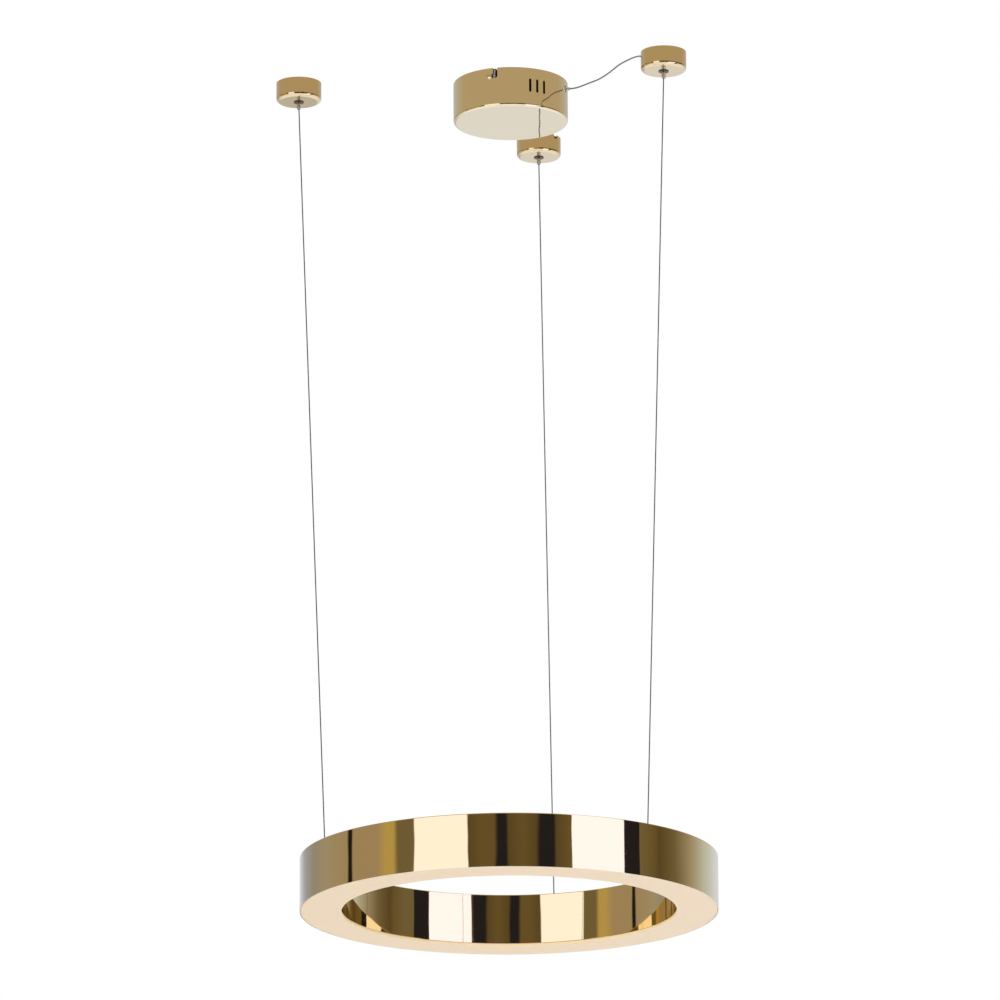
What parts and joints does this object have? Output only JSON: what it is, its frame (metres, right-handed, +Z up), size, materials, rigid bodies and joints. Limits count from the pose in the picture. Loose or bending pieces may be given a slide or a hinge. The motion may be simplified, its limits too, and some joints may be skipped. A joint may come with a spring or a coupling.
{
  "type": "ring chandelier",
  "caption": "Gold polished light ring that hangs level on thin steel cables from small ceiling canopies, with a larger canopy for the driver and a supply cord between them.",
  "frame": {"origin": "on the ceiling, at the middle of the large canopy's bracket, between its two screw slots", "axes": "+Z up into the ceiling; +X to the right and +Y to the back, seen from the side that the large canopy's vents face; +X runs along the line of the slots"},
  "size_m": [0.5295, 0.5, 1.028],
  "materials": {
    "gold_steel": "mirror-polished stainless steel with a gold vapour coat",
    "gold_screw": "polished gold-coated steel",
    "zinc_steel": "zinc-plated",
    "nickel": "bright nickel plate",
    "bearing_steel": "polished",
    "black_steel": "blackened, satin",
    "cable_steel": "stranded bare steel",
    "driver_case": "moulded white plastic",
    "terminal_plastic": "moulded natural plastic",
    "clear_plastic": "clear moulded plastic",
    "cord_sheath": "clear sheath over fine strands",
    "white_sheath": "white sheath",
    "connector_plastic": "moulded white plastic",
    "tray_aluminium": "mill finish",
    "board_white": "white solder mask",
    "chip_resin": "yellow phosphor",
    "opal_acrylic": "satin opal"
  },
  "bodies": {
    "ceiling": {"ceiling_bracket": "zinc_steel", "canopy_cover": "gold_steel", "side_screws": "gold_screw", "led_driver": "driver_case", "driver_screws": "zinc_steel", "terminal_block": "terminal_plastic", "terminal_screws": "zinc_steel", "input_lead": "white_sheath", "output_lead": "cord_sheath", "cord_gland": "clear_plastic", "gland_nut": "clear_plastic", "supply_cord": "cord_sheath", "splice_sleeve": "nickel", "anchor_plate_left": "zinc_steel", "canopy_cup_left": "gold_steel", "gripper_body_left": "black_steel", "gripper_spring_left": "bearing_steel", "cable_tail_left": "cable_steel", "anchor_plate_right": "zinc_steel", "canopy_cup_right": "gold_steel", "gripper_body_right": "black_steel", "gripper_spring_right": "bearing_steel", "cable_tail_right": "cable_steel", "anchor_plate_rear": "zinc_steel", "canopy_cup_rear": "gold_steel", "gripper_body_rear": "black_steel", "gripper_spring_rear": "bearing_steel", "cable_tail_rear": "cable_steel"},
    "left_cable": {"cable_left": "cable_steel"},
    "right_cable": {"cable_right": "cable_steel"},
    "rear_cable": {"cable_rear": "cable_steel"},
    "left_ball": {"cable_ball_left": "bearing_steel"},
    "ring": {"ring_housing": "gold_steel", "diffuser": "opal_acrylic", "led_tray": "tray_aluminium", "led_chips": "chip_resin", "board_links": "board_white", "tray_spacers": "zinc_steel", "tray_screws": "zinc_steel", "ring_connector": "connector_plastic", "ring_lead": "white_sheath", "collar_nuts": "zinc_steel", "cable_ball_right": "bearing_steel", "cable_ball_rear": "bearing_steel", "cable_collar_left": "nickel", "cable_collar_right": "nickel", "cable_collar_rear": "nickel", "led_board_1": "board_white", "led_board_2": "board_white", "led_board_3": "board_white", "led_board_4": "board_white"},
    "left_plunger": {"gripper_plunger_left": "nickel", "locking_balls_left": "bearing_steel"},
    "right_plunger": {"gripper_plunger_right": "nickel", "locking_balls_right": "bearing_steel"},
    "rear_plunger": {"gripper_plunger_rear": "nickel", "locking_balls_rear": "bearing_steel"}
  },
  "joints": [
    {"name": "ring_sway", "type": "hinge", "parent": "ceiling", "child": "left_cable", "pos_m": [-0.259, -0.01, -0.029], "axis": [0, 1, 0], "range_deg": [-10, 10]},
    {"name": "height_adjust", "type": "slide", "parent": "left_cable", "child": "left_ball", "axis": [0, 0, 1], "range_m": [0, 0.6], "deforming": ["cable_left", "cable_right", "cable_rear"]},
    {"name": "ring_level", "type": "hinge", "parent": "left_ball", "child": "ring", "pos_m": [-0.22521, -0.03457, -0.9665], "axis": [0.0592, 0.9982, 0], "range_deg": [-11.6, 11.6]},
    {"name": "right_cable_sway", "type": "hinge", "parent": "ceiling", "child": "right_cable", "pos_m": [0.185, -0.122, -0.029], "axis": [0, 1, 0], "range_deg": [-10, 10]},
    {"name": "rear_cable_sway", "type": "hinge", "parent": "ceiling", "child": "rear_cable", "pos_m": [0.035, 0.216, -0.029], "axis": [0, 1, 0], "range_deg": [-10, 10]},
    {"name": "left_release", "type": "slide", "parent": "ceiling", "child": "left_plunger", "axis": [0, 0, 1], "range_m": [0, 0.0025], "stiffness_N_per_m": 1500, "springref_m": -0.004, "deforming": ["gripper_spring_left"]},
    {"name": "right_release", "type": "slide", "parent": "ceiling", "child": "right_plunger", "axis": [0, 0, 1], "range_m": [0, 0.0025], "stiffness_N_per_m": 1500, "springref_m": -0.004, "deforming": ["gripper_spring_right"]},
    {"name": "rear_release", "type": "slide", "parent": "ceiling", "child": "rear_plunger", "axis": [0, 0, 1], "range_m": [0, 0.0025], "stiffness_N_per_m": 1500, "springref_m": -0.004, "deforming": ["gripper_spring_rear"]}
  ],
  "couplings": [
    {"joint": "ring_level", "follows": "ring_sway", "ratio": -1.1489},
    {"joint": "right_cable_sway", "follows": "ring_sway", "ratio": 1},
    {"joint": "rear_cable_sway", "follows": "ring_sway", "ratio": 1}
  ]
}
